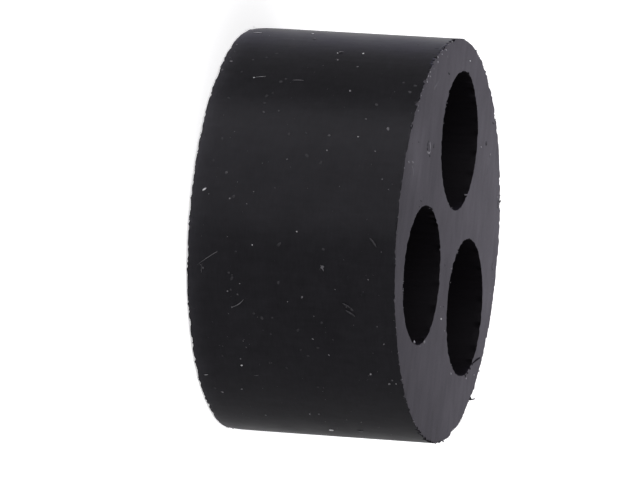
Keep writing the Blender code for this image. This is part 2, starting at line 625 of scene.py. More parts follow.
# %% [markdown]
# ## What the blade did to the shape
# Rubber gives way under a blade. The cuts wander by hundredths of a mm, and the lower one leans
# a hair. In two places the lower rim is drawn in, and the bores' upper mouths aren't quite
# round. These forms change slowly, so each is one formula over the plain shape.

# %% Cut ends
END_SEED = {UPPER: 5, LOWER: 6}
END_WAVES = {UPPER: 0.022, LOWER: 0.008}
SLANT = 0.034
SLANT_TOWARDS = math.radians(95)


def end_height(x, y, end):
    """The height of a cut end in mm: always inside the length, by END_WAVES * (1 + mean of 9 cosines).

    The cosines run nearly along X. The lower cut also leans: it reaches lowest at SLANT_TOWARDS.
    """
    random = np.random.default_rng(END_SEED[end])
    turns = random.normal(0, 0.25, 9)
    rates = random.uniform(0.5, 3.0, 9)
    across = x[..., None] * np.cos(turns) + y[..., None] * np.sin(turns)
    waves = np.cos(across * rates + random.uniform(0, 2 * math.pi, 9)).mean(-1)
    depth = END_WAVES[end] * (1 + waves)
    if end == UPPER:
        return LENGTH - depth
    towards = (x * math.cos(SLANT_TOWARDS) + y * math.sin(SLANT_TOWARDS)) / OUTER_RADIUS
    return depth + SLANT * (1 - towards)


test_y = np.array([-OUTER_RADIUS, 0.0, OUTER_RADIUS])
print("the lower cut at -Y, middle and +Y, in mm:", end_height(0 * test_y, test_y, LOWER).round(3))

# %% Drawn-in rim
WALL_INSET = 0.012
DRAWN_UP = 0.28
DRAWN_IN = [
    # degrees at the middle of a place where the rim is drawn in, its reach, and its depth in mm
    (103.0, 9.0, 0.085), (281.0, 8.0, 0.065),
]


def wall_radius(turn, height):
    """The wall's radius: OUTER_RADIUS - (WALL_INSET + the drawn-in bells) * exp(-height / DRAWN_UP)."""
    middle, reach, depth = np.transpose(DRAWN_IN)
    drawn = WALL_INSET + ring_bumps(turn, np.radians(middle), np.radians(reach), depth)
    return OUTER_RADIUS - drawn[:, None] * np.exp(-height / DRAWN_UP)


test_wall = wall_radius(np.radians([103.0]), np.array([0.0, 0.5, 1.0]))
print("radius 0, 0.5 and 1 mm up where the rim is drawn in, in mm:", test_wall.round(3)[0])

# %% Bore mouths
MOUTH_WIDER = (0.010, -0.014, 0.024)
MOUTH_WAVES = [
    # for each bore, four waves round its upper mouth: the shift in degrees and the height in mm
    [(-64, 0.028), (43, 0.024), (117, 0.015), (-14, 0.015)],
    [(33, 0.033), (50, 0.037), (-101, 0.008), (165, 0.017)],
    [(17, 0.020), (-3, 0.046), (-62, 0.009), (-129, 0.012)],
]


def mouth_offset(turn, bore):
    """How far an upper mouth lies outside its circle: the sum of height * cos(rate * turn - shift)."""
    shifts, heights = np.transpose(MOUTH_WAVES[bore])
    rates = np.arange(1, len(heights) + 1)
    return MOUTH_WIDER[bore] + np.cos(turn[:, None] * rates - np.radians(shifts)) @ heights


test_offset = mouth_offset(np.radians([0.0, 90.0, 180.0, 270.0]), 0)
print("the first mouth, four times round it, in mm out of its circle:", test_offset.round(3))

# %% [markdown]
# ## Lips
# A lip is the small round between a wall and a cut end. A Bevel modifier would make it the
# same all the way. Here its profile is worked out for every angle instead: a quarter circle
# as large as the rim is round there, pushed out by the burrs and let down by the tears.

# %% Profiles of the lips
OUTSIDE_SEED = {UPPER: 11, LOWER: 21}
BORE_SEED = {UPPER: 31, LOWER: 61}


def lip(turn, seed, rim_radius, wall, way):
    """Radius, depth below the end and share of cut rubber, up the quarter round between wall and end.

    Its centre lies one roundness inside both surfaces. Burrs push it out along the diagonal, and
    where the rim is torn it lies deeper. way is -1 where it turns in to its axis and else 1.
    """
    roundness, burr, tear = rim(turn, seed, rim_radius)
    slope = np.linspace(0, math.pi / 2, LIP_STEPS + 1)
    push = burr[:, None] * np.sin(2 * slope)
    radius = wall + way * roundness[:, None] * (1 - np.cos(slope)) - way * push * np.cos(slope)
    inset = roundness[:, None] * (1 - np.sin(slope)) - push * np.sin(slope) + tear[:, None]
    return radius, inset, np.sin(slope)


def outside_lip(turn, end):
    """The lip between the outside wall and a cut end."""
    wall = wall_radius(turn, 0.0 if end == LOWER else LENGTH)
    return lip(turn, OUTSIDE_SEED[end], OUTER_RADIUS, wall, -1)


def bore_lip(turn, end, bore):
    """The lip at a bore's mouth, which opens away from the bore's axis."""
    offset = mouth_offset(turn, bore)[:, None] if end == UPPER else 0.0
    return lip(turn, BORE_SEED[end] + 7 * bore, BORE_RADIUS, BORE_RADIUS + offset, 1)


def set_height(x, y, inset, share, end):
    """A lip's height: inset below the end, with the end's own waves coming in as the lip levels out."""
    flat = LENGTH if end == UPPER else 0.0
    return flat - end * inset + share * (end_height(x, y, end) - flat)


_, test_inset, _ = outside_lip(np.radians([0.0, 118.8]), UPPER)
print("depths up the lip in mm, at an even place and at a tear:", test_inset.round(3).tolist())

# %% [markdown]
# ## Sectors and wall
# Each end is divided like a cake into one sector for each bore. Round a bore, every direction
# leads to the sector's edge: to the outside wall, or to the line shared with the next sector.
# So the first parameter goes round the bore, and the second goes from the edge across the end
# and down the bore to half the length. The wall's rims have the same points as the sectors'
# edges, so that the grids join up exactly.

# %% Edge of a sector
def sector_edge():
    """The edge of a sector round +X: angles of its arc, then x and y along the arc and both its sides.

    Rays leave the bore's centre at even angles, and cross the side at
    PITCH_RADIUS * sin(angle) / sin(angle - HALF_SECTOR) from the insert's middle.
    """
    arc = np.linspace(-HALF_SECTOR, HALF_SECTOR, ARC_STEPS + 1)
    arc_x = (OUTER_RADIUS - CORNER) * np.cos(arc)
    arc_y = (OUTER_RADIUS - CORNER) * np.sin(arc)
    first_ray = math.atan2(arc_y[-1], arc_x[-1] - PITCH_RADIUS)
    fan = np.linspace(first_ray, math.pi, WEB_STEPS + 1)[1:]
    along = PITCH_RADIUS * np.sin(fan) / np.sin(fan - HALF_SECTOR)
    side_x = along * math.cos(HALF_SECTOR)
    side_y = along * math.sin(HALF_SECTOR)
    edge_x = np.concatenate([arc_x, side_x, side_x[-2::-1]])
    edge_y = np.concatenate([arc_y, side_y, -side_y[-2::-1]])
    return arc, edge_x, edge_y


print("points round a sector's edge:", len(sector_edge()[1]))

# %% Sectors
def sector(bore, end):
    """Half a sector's surface, from the edge of a cut end to the middle of the bore.

    Returns points[column, row] and how much each row belongs to the cut end. A point of the end is
    edge + share * (mouth - edge), with gathered shares. In the bore, the mouth's radius blends
    into the bore's own, which it has reached at half the length.
    """
    turn = bore_turns[bore]
    arc, edge_x, edge_y = sector_edge()
    around = np.arctan2(edge_y, edge_x - PITCH_RADIUS)
    rim_radius, rim_inset, _ = outside_lip(arc + turn, end)
    edge_x[:ARC_STEPS + 1] = rim_radius[:, -1] * np.cos(arc)
    edge_y[:ARC_STEPS + 1] = rim_radius[:, -1] * np.sin(arc)

    lip_radius, lip_inset, lip_share = bore_lip(around + turn, end, bore)
    down = 2 * gathered(BORE_ROWS)[1:BORE_ROWS // 2 + 1]
    bore_radius = lip_radius[:, :1] * (1 - down) + BORE_RADIUS * down
    radius = np.hstack([lip_radius[:, ::-1], bore_radius])
    inner_x = PITCH_RADIUS + radius * np.cos(around)[:, None]
    inner_y = radius * np.sin(around)[:, None]
    share = gathered(END_ROWS)[:-1]
    end_x = edge_x[:, None] + (inner_x[:, :1] - edge_x[:, None]) * share
    end_y = edge_y[:, None] + (inner_y[:, :1] - edge_y[:, None]) * share
    local_x = np.hstack([end_x, inner_x])
    local_y = np.hstack([end_y, inner_y])
    x = local_x * math.cos(turn) - local_y * math.sin(turn)
    y = local_x * math.sin(turn) + local_y * math.cos(turn)

    inset = np.hstack([np.zeros_like(end_x), lip_inset[:, ::-1]])
    inset[:ARC_STEPS + 1, 0] = rim_inset[:, -1]
    shares = np.concatenate([np.ones(END_ROWS), lip_share[::-1]])
    lipped = len(shares)
    z = np.empty_like(x)
    z[:, :lipped] = set_height(x[:, :lipped], y[:, :lipped], inset, shares, end)
    z[:, lipped:] = z[:, lipped - 1:lipped] * (1 - down) + LENGTH / 2 * down
    return np.stack([x, y, z], -1), np.concatenate([shares, np.zeros(BORE_ROWS // 2)])


print("sector grid", sector(0, UPPER)[0].shape)

# %% Outside wall
WALL_RIPPLE = 0.006


def outside_wall():
    """The outside wall with both its lips: points[column, row] all the way round, from bottom to top.

    Between the lips, the radius is wall_radius + WALL_RIPPLE * slow waves round it * a sine of the
    height, which is 0 at both rims.
    """
    turn = np.linspace(0, 2 * math.pi, BORE_COUNT * ARC_STEPS, endpoint=False) + FIRST_BORE - HALF_SECTOR
    cos, sin = np.cos(turn)[:, None], np.sin(turn)[:, None]
    low_radius, low_inset, low_share = outside_lip(turn, LOWER)
    top_radius, top_inset, top_share = outside_lip(turn, UPPER)
    low_z = set_height(low_radius * cos, low_radius * sin, low_inset, low_share, LOWER)
    top_z = set_height(top_radius * cos, top_radius * sin, top_inset, top_share, UPPER)
    up = np.array(WALL_SHARES)
    ripple = WALL_RIPPLE * ring_waves(turn, 91, 2, 9)[:, None] * np.sin(math.pi * up)
    wall_z = low_z[:, :1] * (1 - up) + top_z[:, :1] * up
    radius = np.hstack([low_radius[:, ::-1], wall_radius(turn, wall_z) + ripple, top_radius])
    z = np.hstack([low_z[:, ::-1], wall_z, top_z])
    shares = np.concatenate([low_share[::-1], np.zeros(len(up)), top_share])
    return np.stack([radius * cos, radius * sin, z], -1), shares


print("outside wall grid", outside_wall()[0].shape)

# %% [markdown]
# ## From grids to a mesh
# Each grid closes on itself round its first parameter. Its faces are the squares between
# neighbouring points. The grids meet at points that were worked out in the same way on
# both sides, so merging points closer than a tenth of a micron closes the surface.

# %% Faces of all the grids
SKIN, CUT, BORE = range(3)
FINISHES = (skin_finish, cut_finish, bore_shade_finish)
MOSTLY_CUT = 0.9


def grid_faces(columns, rows, start, flip):
    """Squares between neighbours of a grid that closes round its columns, numbered from start."""
    column = np.arange(columns)[:, None] * rows
    following = (column + rows) % (columns * rows)
    row = np.arange(rows - 1)[None, :]
    corners = [column + row, following + row, following + row + 1, column + row + 1]
    squares = np.stack(corners, -1).reshape(-1, 4) + start
    return squares[:, ::-1] if flip else squares


def build_insert():
    """The outside wall and both halves of every sector in one mesh, with each face's finish.

    A face is cut rubber where the mean share of its two rows is above MOSTLY_CUT.
    """
    grids = [(*outside_wall(), False, SKIN)]
    for bore in range(BORE_COUNT):
        for end in (UPPER, LOWER):
            grids.append((*sector(bore, end), end == LOWER, BORE))
    points, faces, finish = [], [], []
    start = 0
    for grid, share, flip, wall_finish in grids:
        columns, rows, _ = grid.shape
        points.append(grid.reshape(-1, 3))
        faces.append(grid_faces(columns, rows, start, flip))
        cut = (share[:-1] + share[1:]) / 2 > MOSTLY_CUT
        finish.append(np.tile(np.where(cut, CUT, wall_finish), columns))
        start += columns * rows
    mesh = bpy.data.meshes.new("insert_body")
    mesh.from_pydata(np.concatenate(points) * MM, [], np.concatenate(faces))
    mesh.polygons.foreach_set("material_index", np.concatenate(finish).astype(np.int32))
    return mesh


body_mesh = build_insert()
print("points before the grids are merged:", len(body_mesh.vertices))

# %% Insert body
MERGE_DISTANCE = 1e-7
bm = bmesh.new()
bm.from_mesh(body_mesh)
bmesh.ops.remove_doubles(bm, verts=bm.verts, dist=MERGE_DISTANCE)
open_edges = sum(not edge.is_contiguous for edge in bm.edges)
volume = bm.calc_volume(signed=True) / MM**3
bm.to_mesh(body_mesh)
bm.free()
body_mesh.shade_smooth()
for finish in FINISHES:
    body_mesh.materials.append(finish)
insert_body = bpy.data.objects.new("insert_body", body_mesh)
bpy.context.scene.collection.objects.link(insert_body)
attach(insert_body, "root")
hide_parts("sealing_insert")
print(f"insert: {len(body_mesh.polygons)} squares, {open_edges} open edges, {volume:.0f} cubic mm")

# %% [markdown]
# ## Places on the insert
# The rest is small: crumbs and slivers of rubber that the blade left, and dust. Each bit sits
# on a surface, so it needs a point there and three directions: two along the surface and one
# away from it. Lengths along the surface are in mm, on the wall as on the ends.

# %% Places on the insert
def vectors(x, y, z):
    """Vectors with these parts, each of them an array or one number for all."""
    return np.stack(np.broadcast_arrays(x, y, z), -1)


def on_wall(around, up):
    """The wall's point at a length round the rim and a height, with the directions there."""
    turn = np.asarray(around, float) / OUTER_RADIUS
    cos, sin = np.cos(turn), np.sin(turn)
    point = vectors(OUTER_RADIUS * cos, OUTER_RADIUS * sin, up)
    return point, vectors(-sin, cos, 0), vectors(0 * turn, 0, 1), vectors(cos, sin, 0)


def on_end(x, y, end=UPPER):
    """The point of a cut end at x and y, with the directions along X, along Y and away from it."""
    point = vectors(x, y, end_height(x, y, end))
    return point, vectors(0 * x + 1, 0, 0), vectors(0 * x, 1, 0), vectors(0 * x, 0, end)


def on_rim(turn, end, radius=OUTER_RADIUS, centre_distance=0.0, bore=0):
    """Points of a cut end at turns round its middle, or round a bore's centre, with directions there."""
    middle = bore_turns[bore]
    x = centre_distance * math.cos(middle) + radius * np.cos(turn)
    y = centre_distance * math.sin(middle) + radius * np.sin(turn)
    return on_end(x, y, end)


def on_bore(bore, degrees, up):
    """A place on a bore's wall, where away from the surface is towards the bore's axis."""
    turn = np.radians(degrees)
    cos, sin = np.cos(turn), np.sin(turn)
    middle = PITCH_RADIUS * vectors(math.cos(bore_turns[bore]), math.sin(bore_turns[bore]), 0)
    point = middle + vectors(BORE_RADIUS * cos, BORE_RADIUS * sin, up)
    return point, vectors(-sin, cos, 0), vectors(0 * turn, 0, 1), vectors(-cos, -sin, 0)


def joined(*places):
    """Several sets of places as one set."""
    return tuple(np.concatenate(parts) for parts in zip(*places))


def round_mm(degrees):
    """The length round the wall that goes with an angle."""
    return np.radians(degrees) * OUTER_RADIUS


print("one degree round the wall is", round(float(round_mm(1)), 3), "mm")

# %% [markdown]
# ## Lumps and slivers
# A crumb is a small uneven ball, and a sliver or a fibre is a thin tube with pointed ends.
# There are hundreds of them, so each has only a few dozen faces, and one function makes all
# the crumbs of a piece at once by working on arrays of (crumb, point).

# %% Closed meshes from many small shapes
LUMP_COLUMNS, LUMP_ROWS = 6, 4
TUBE_SIDES, TUBE_STEPS = 6, 12


def ring_faces(rings, sides):
    """The faces of one closed shape: squares between its rings, and triangles to its two end points."""
    ring = np.arange(rings - 1)[:, None] * sides
    side = np.arange(sides)
    following = (side + 1) % sides
    corners = [ring + side, ring + following, ring + sides + following, ring + sides + side]
    squares = np.stack(corners, -1).reshape(-1, 4)
    first, last = rings * sides, rings * sides + 1
    top = (rings - 1) * sides
    start = vectors(following, side, first)
    finish = vectors(top + side, top + following, last)
    return squares.tolist() + start.tolist() + finish.tolist()


LUMP_FACES = ring_faces(LUMP_ROWS, LUMP_COLUMNS)
TUBE_FACES = ring_faces(TUBE_STEPS, TUBE_SIDES)


def small_piece(name, shapes, faces, finish):
    """Puts shapes[shape, point] with the same faces each into one mesh that rides on the insert."""
    count, size, _ = shapes.shape
    mesh = bpy.data.meshes.new(name)
    every_face = [[corner + size * index for corner in face] for index in range(count) for face in faces]
    mesh.from_pydata(shapes.reshape(-1, 3) * MM, [], every_face)
    mesh.shade_smooth()
    mesh.materials.append(finish)
    piece = bpy.data.objects.new(name, mesh)
    bpy.context.scene.collection.objects.link(piece)
    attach(piece, "root")
    print(name, count, "shapes", len(every_face), "faces")
    return piece


print(len(LUMP_FACES), "faces in a lump,", len(TUBE_FACES), "in a tube")

# %% Lumps
def lumps(places, widths, flatness, seed, lengths=None):
    """Uneven balls, one at each place.

    Point (u, v) of a ball is (cos v cos u, cos v sin u, sin v), times a random share near 1. The
    ball is stretched one way along the surface, squashed away from it, and sunk by a third. With
    lengths, it is that long along the place's first direction, and else it's turned at random.
    """
    random = np.random.default_rng(seed)
    point, along, upwards, outwards = places
    count = len(point)
    longitude = 2 * math.pi * np.arange(LUMP_COLUMNS) / LUMP_COLUMNS
    latitude = math.pi * (np.arange(1, LUMP_ROWS + 1) / (LUMP_ROWS + 1) - 0.5)[:, None]
    ring_x, ring_y = np.cos(latitude) * np.cos(longitude), np.cos(latitude) * np.sin(longitude)
    ball = vectors(ring_x, ring_y, np.sin(latitude)).reshape(-1, 3)
    ball = np.concatenate([ball, [[0, 0, -1], [0, 0, 1]]])
    ball = ball * random.uniform(0.7, 1.25, (count, len(ball), 1))
    ball *= np.broadcast_to(widths, count)[:, None, None] / 2
    stretch = random.uniform(1.0, 1.7, count)[:, None]
    turned = random.uniform(0, math.pi, count)[:, None]
    if lengths is not None:
        stretch = (np.asarray(lengths) / widths)[:, None]
        turned = 0 * turned
    first = np.cos(turned) * along + np.sin(turned) * upwards
    second = np.cos(turned) * upwards - np.sin(turned) * along
    second *= np.sign((np.cross(first, second) * outwards).sum(-1))[:, None]
    rise = flatness * (ball[..., 2] + np.broadcast_to(widths, count)[:, None] / 6)
    shapes = point[:, None] + (ball[..., 0] * stretch)[..., None] * first[:, None]
    return shapes + ball[..., 1][..., None] * second[:, None] + rise[..., None] * outwards[:, None]


def end_lumps(rows, flatness, seed):
    """Lumps from a table of x and y on the upper end, length along X and width along Y."""
    x, y, length, width = np.transpose(rows)
    return lumps(on_end(x, y), width, flatness, seed, length)


print("points of one lump:", end_lumps([(0, 0, 0.2, 0.1)], flatness=1.0, seed=1).shape[1])

# %% Tubes
def unit(directions):
    """Directions, each divided by its own length, which makes it 1 long."""
    return directions / np.linalg.norm(directions, axis=-1, keepdims=True)


def tubes(middles, outwards, radii, flatness=1.0):
    """Tubes along middles[tube, step]: middle + radius * (cos a * side + flatness * sin a * up)."""
    radii = np.broadcast_to(radii, middles.shape[:2])
    along = unit(np.gradient(middles, axis=1))
    side = unit(np.cross(outwards, along))
    up = np.cross(along, side)
    angle = 2 * math.pi * np.arange(TUBE_SIDES)[:, None] / TUBE_SIDES
    round_it = np.cos(angle) * side[:, :, None] + flatness * np.sin(angle) * up[:, :, None]
    rings = middles[:, :, None] + radii[..., None, None] * round_it
    return np.concatenate([rings.reshape(len(middles), -1, 3), middles[:, :1], middles[:, -1:]], 1)


def pointed(thickness, blunt=0.15):
    """A tube's radius at each step: the square root of a sine, from blunt ends to full in the middle."""
    share = np.linspace(blunt, math.pi - blunt, TUBE_STEPS)
    return np.asarray(thickness, float)[..., None] / 2 * np.sqrt(np.sin(share))


print("a 0.1 mm fibre's radius from end to end, in mm:", pointed(0.1).round(3))

# %% [markdown]
# ## Finishes of the small bits
# Torn rubber has a rough, dusty surface that looks much paler than the skin, and lint is
# nearly white. A slow noise makes some bits paler than others.

# %% Crumb and lint finishes
def speckled(name, darker, paler, size):
    """A matt finish that changes between two greys, with a pattern of that size in mm."""
    material, tree, shader = rubber(name, paler, 0.9, 0.1)
    share = spread(tree, clouds(tree, size, detail=1), 0.35, 0.65)
    tree.links.new(blend(tree, share, darker, paler), shader.inputs["Base Color"])
    return material


crumb_finish = speckled("torn_rubber", (0.10, 0.096, 0.104, 1), (0.26, 0.255, 0.275, 1), 0.5)
# The hollows' dark greys are painted shade.
hollow_shade_finish = speckled("hollow_painted_shade", (0.015, 0.015, 0.016, 1), (0.038, 0.036, 0.040, 1), 0.4)
lint_finish = speckled("lint", (0.36, 0.36, 0.37, 1), (0.66, 0.66, 0.67, 1), 0.3)
smudge_finish = speckled("smudged_dust", (0.018, 0.0176, 0.0195, 1), (0.031, 0.0303, 0.033, 1), 0.3)
worn_finish = speckled("worn_rubber", (0.072, 0.069, 0.077, 1), (0.105, 0.101, 0.111, 1), 0.6)
faint_finish = speckled("faint_dust", (0.05, 0.049, 0.0525, 1), (0.175, 0.171, 0.18, 1), 0.8)
print("bits:", crumb_finish.name, hollow_shade_finish.name, lint_finish.name, faint_finish.name)

# %% [markdown]
# ## Crumbs on the rims
# The blade tears tiny crumbs off every rim as it enters and leaves the rubber. They lie
# thickest along the outside rims. A few larger ones have places of their own, read off one by
# one: angles round the outside rim for some, and points on the upper end for the others.

# %% Tables of crumbs
RIM_CRUMBS = [
    # degrees round the upper outside rim, width in mm
    (110.6, 0.10), (115.0, 0.06), (121.0, 0.05), (126.2, 0.11), (134.9, 0.10), (138.6, 0.09),
    (143.0, 0.04), (149.4, 0.09), (151.0, 0.06), (163.0, 0.04), (233.0, 0.04), (24.1, 0.06),
    (343.8, 0.05), (287.5, 0.10), (145.5, 0.07), (137.0, 0.08),
]
END_CRUMBS = [
    # x and y on the upper end, length along X and width along Y in mm
    (-9.27, 2.20, 0.34, 0.13), (-8.52, 2.35, 0.38, 0.11), (-0.27, -3.41, 0.16, 0.04),
    (3.17, -6.23, 0.18, 0.12), (7.86, -5.50, 0.12, 0.10), (6.31, -5.94, 0.28, 0.10),
    (4.37, 5.71, 0.22, 0.09), (6.34, 5.73, 0.10, 0.12), (9.36, -0.99, 0.18, 0.09),
    (9.62, -0.15, 0.10, 0.05), (1.01, -4.41, 0.12, 0.06), (0.98, -1.22, 0.16, 0.08),
    (-5.85, 3.38, 0.50, 0.12), (-4.56, -5.94, 0.30, 0.15), (-2.68, -5.63, 0.32, 0.18),
    (-5.84, 7.98, 0.30, 0.11), (-6.97, 7.00, 0.32, 0.09), (-7.50, 6.62, 0.26, 0.09),
    (-8.68, 5.12, 0.18, 0.09), (-8.54, 4.95, 0.24, 0.08), (-4.56, 8.87, 0.28, 0.09),
    (-5.25, 8.50, 0.20, 0.08), (8.80, 3.96, 0.20, 0.12),
]
WORN_BITS = [
    # the same, for bits that are hardly paler than the cut
    (-2.71, 0.46, 0.34, 0.16), (-1.56, -0.72, 0.20, 0.10), (6.34, 5.68, 0.24, 0.34),
    (4.37, 5.66, 0.34, 0.18), (-6.4, 7.5, 0.4, 0.14), (-4.2, 8.6, 0.5, 0.12), (9.0, 3.6, 0.4, 0.5),
    (9.3, 0.4, 0.3, 0.4),
]
print(len(RIM_CRUMBS), "crumbs on the rim,", len(END_CRUMBS) + len(WORN_BITS), "bits on the end")

# %% Rim crumbs
CRUMBS_OUTSIDE = 110
CRUMBS_AT_BORE = 24
ON_THE_ROUND = 0.03


def scattered_rim(seed, count, end, radius, centre_distance=0.0, bore=0):
    """Places at random turns round a rim, a hair to either side of it."""
    random = np.random.default_rng(seed)
    turn = random.uniform(0, 2 * math.pi, count)
    return on_rim(turn, end, radius + random.normal(0, 0.03, count), centre_distance, bore)


def rim_crumbs():
    """Named crumbs on the upper outside rim, and smaller random ones round all eight rims.

    A random width is a least width plus a range times the cube of a random share, so few are wide.
    """
    random = np.random.default_rng(301)
    degrees, named_widths = np.transpose(RIM_CRUMBS)
    sets = [on_rim(np.radians(degrees), UPPER, OUTER_RADIUS - 0.05)]
    widths = [named_widths]
    for end in (UPPER, LOWER):
        sets.append(scattered_rim(310 + end, CRUMBS_OUTSIDE, end, OUTER_RADIUS - ON_THE_ROUND))
        widths.append(0.02 + 0.05 * random.random(CRUMBS_OUTSIDE) ** 3)
        for bore in range(BORE_COUNT):
            rim_place = BORE_RADIUS + ON_THE_ROUND, PITCH_RADIUS, bore
            sets.append(scattered_rim(320 + 3 * end + bore, CRUMBS_AT_BORE, end, *rim_place))
            widths.append(0.02 + 0.04 * random.random(CRUMBS_AT_BORE) ** 3)
    return lumps(joined(*sets), np.concatenate(widths), flatness=0.7, seed=302)


small_piece("rim_crumbs", rim_crumbs(), LUMP_FACES, crumb_finish)
end_crumbs = end_lumps(END_CRUMBS, flatness=0.4, seed=303)
worn_bits = end_lumps(WORN_BITS, flatness=0.1, seed=304)
small_piece("end_crumbs", end_crumbs, LUMP_FACES, crumb_finish)
small_piece("worn_bits", worn_bits, LUMP_FACES, worn_finish)

# %% [markdown]
# ## Slivers on the rims
# Where the blade left the rubber, it pulled short slivers out of the rim. Most are under
# 0.2 mm. The longest is a dark whisker that has come loose along a bore's mouth and lies bent
# over on the end. A pale one hangs into the mouth of the first bore.

# %% Slivers on the outside rim
SLIVERS = [
    # degrees round the rim, end, length and thickness in mm, lean along the rim, lift off the end
    (317.6, UPPER, 0.34, 0.105, 1.0, 1.4),
    (329.6, UPPER, 0.14, 0.09, 0.3, 0.4),
    (22.0, UPPER, 0.12, 0.10, 0.5, 0.3),
    (287.5, UPPER, 0.13, 0.11, 0.3, 0.5),
    (279.0, UPPER, 0.11, 0.09, 0.6, 0.4),
    (293.0, UPPER, 0.09, 0.08, 0.5, 0.5),
    (300.0, UPPER, 0.07, 0.07, -0.5, 0.5),
    (268.5, UPPER, 0.10, 0.10, -0.4, 0.1),
    (261.5, UPPER, 0.10, 0.09, 0.6, -0.2),
    (238.0, LOWER, 0.13, 0.09, 0.4, 0.1),
    (166.0, LOWER, 0.10, 0.09, 0.4, 0.1),
    (146.0, LOWER, 0.09, 0.08, -0.5, 0.1),
    (214.0, LOWER, 0.08, 0.08, 0.5, 0.1),
]
RANDOM_SLIVERS = 40
SLIVER_ROOT = 0.06


def rim_slivers():
    """Tapered tubes that leave the outside rim: named ones, then random shorter ones at both ends.

    Point s of the middle is root + length * s * way + 0.4 * length * s squared * sideways, which
    curls it along the rim.
    """
    random = np.random.default_rng(341)
    rows = list(SLIVERS)
    for end in (UPPER, LOWER):
        for degrees in random.uniform(0, 360, RANDOM_SLIVERS):
            length, thickness = random.uniform(0.04, 0.10), random.uniform(0.03, 0.07)
            rows.append((degrees, end, length, thickness, random.uniform(-1, 1), random.uniform(0, 0.6)))
    degrees, end, length, thickness, lean, lift = np.transpose(rows)[..., None]
    turn = np.radians(degrees)
    outwards = vectors(np.cos(turn), np.sin(turn), 0)
    sideways = vectors(-np.sin(turn), np.cos(turn), 0)
    upwards = vectors(0 * turn, 0, end)
    share = np.linspace(0, 1, TUBE_STEPS)
    way = outwards + lean[..., None] * sideways + lift[..., None] * upwards
    root_height = np.where(end > 0, LENGTH - SLIVER_ROOT, SLIVER_ROOT + 0.01)
    root = (OUTER_RADIUS - SLIVER_ROOT) * outwards + vectors(0, 0, root_height)
    curl = (length * share**2 * 0.4)[..., None] * sideways
    middles = root + (length * share)[..., None] * unit(way) + curl
    radii = thickness / 2 * (1 - 0.45 * share)
    return tubes(middles, np.broadcast_to(upwards, middles.shape), radii, 0.6)


small_piece("rim_slivers", rim_slivers(), TUBE_FACES, skin_finish)

# %% Slivers and strokes on the end
def smooth_path(points):
    """A point for each step of a tube, along the cubic curve that passes nearest to a few given ones."""
    points = np.asarray(points, float)
    given = np.arange(len(points))
    wanted = np.linspace(0, len(points) - 1, TUBE_STEPS)
    curve = [np.polyval(np.polyfit(given, column, 3), wanted) for column in points.T]
    return np.stack(curve, -1)


def end_slivers(paths, thicknesses, flatness):
    """Flat pointed tubes that follow paths of (x, y, rise in mm) on the upper end."""
    middles = np.stack([smooth_path(path) for path in paths])
    point, _, _, outwards = on_end(middles[..., 0], middles[..., 1])
    return tubes(point + middles[..., 2:] * outwards, outwards, pointed(thicknesses), flatness)


WHISKER = [
    # all the paths here are points of x, y and rise off the upper end in mm
    (7.30, -5.00, 0.0), (7.60, -4.86, 0.01), (7.95, -4.72, 0.02), (8.30, -4.58, 0.02),
    (8.72, -4.45, 0.01),
]
PALE_SLIVERS = [
    # the scuff's two strokes
    [(-5.72, 3.96, 0.0), (-5.62, 3.84, 0.005), (-5.48, 3.70, 0.005), (-5.36, 3.55, 0.0)],
    [(-5.36, 3.62, 0.0), (-5.40, 3.52, 0.005), (-5.55, 3.43, 0.005), (-5.72, 3.38, 0.0)],
]
FAINT_STROKES = [
    # the sliver that hangs into the first bore, then old scratches that hardly show
    [(3.00, 2.96, -0.01), (2.60, 2.88, 0.0), (2.30, 2.82, 0.01), (2.05, 2.78, 0.0)],
    [(-5.40, 7.10, 0.0), (-5.60, 6.90, 0.002), (-5.85, 6.70, 0.002), (-6.03, 6.48, 0.0)],
    [(-8.62, 2.15, 0.0), (-8.35, 2.05, 0.002), (-8.20, 1.90, 0.002), (-8.15, 1.70, 0.0)],
    [(6.10, 5.30, 0.0), (6.12, 5.05, 0.002), (6.14, 4.80, 0.002), (6.20, 4.60, 0.0)],
]
whisker = end_slivers([WHISKER], [0.11], flatness=0.5)
pale_slivers = end_slivers(PALE_SLIVERS, [0.06, 0.06], flatness=0.4)
faint_strokes = end_slivers(FAINT_STROKES, [0.075, 0.18, 0.12, 0.12], flatness=0.2)
# The whisker takes the bores' finish, whose dark grey is painted shade.
small_piece("loose_whisker", whisker, TUBE_FACES, bore_shade_finish)
small_piece("pale_slivers", pale_slivers, TUBE_FACES, crumb_finish)
small_piece("faint_strokes", faint_strokes, TUBE_FACES, worn_finish)

# %% [markdown]
# ## Painted shade in hollows
# Where something has pressed into the soft end, or a crumb has broken out, the hollow lies in
# shade and looks darker than the cut. Hollows this small hardly show their depth, so thin bits
# of dark skin, pressed almost flush into the end and its rim, stand for them as painted shade.
# Along the upper outside rim, such bits are painted shadow in its tears.

